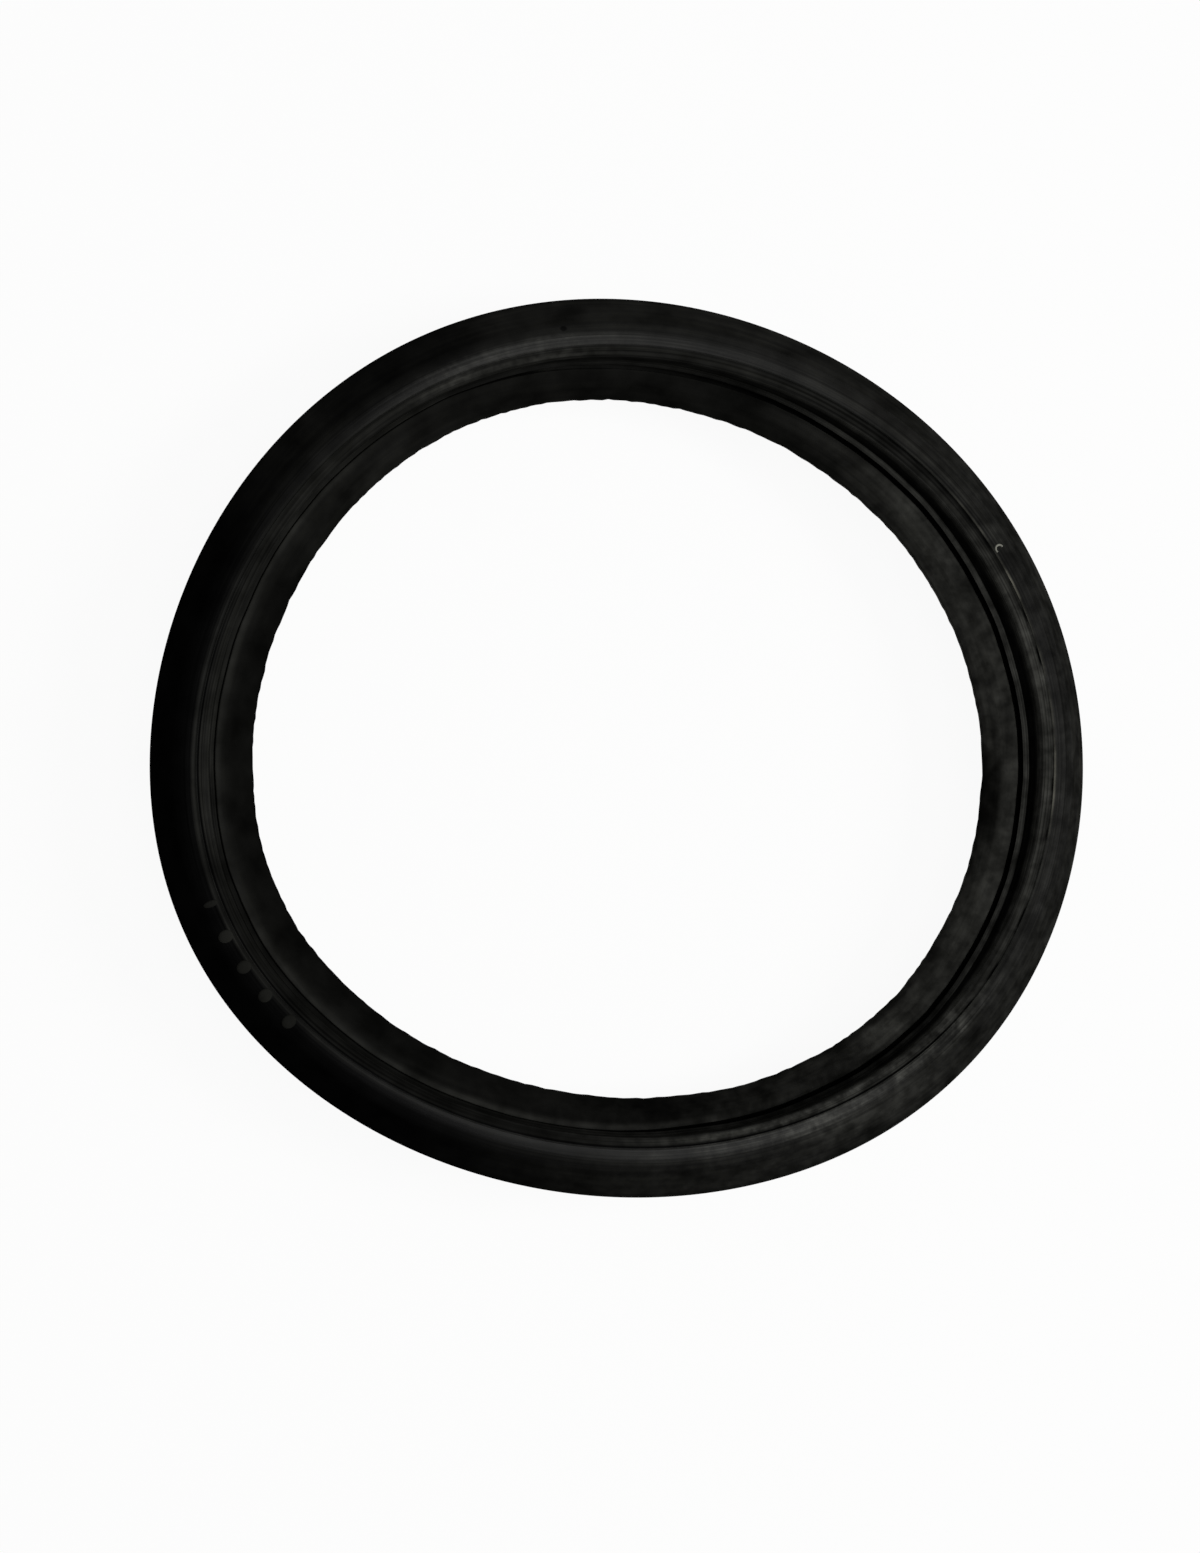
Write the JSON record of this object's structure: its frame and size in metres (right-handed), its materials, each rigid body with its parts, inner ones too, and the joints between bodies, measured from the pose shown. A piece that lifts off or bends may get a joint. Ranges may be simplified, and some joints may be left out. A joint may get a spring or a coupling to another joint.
{
  "type": "triple lip gasket",
  "caption": "Moulded rubber ring gasket for a pipe clamp coupling: crowned back, side lips that bear on the pipe ends and a centre lip between them, lying a little out of round.",
  "frame": {"origin": "middle of the ring's outline, on the plane of its lower side face", "axes": "+Z along the ring's axis, up from the side face it lies on; +X along the longer side of its outline"},
  "size_m": [0.167, 0.1606, 0.025],
  "materials": {
    "rubber": "moulded black rubber, satin, with a faint dusty bloom"
  },
  "bodies": {
    "root": {"gasket": "rubber"}
  },
  "joints": []
}
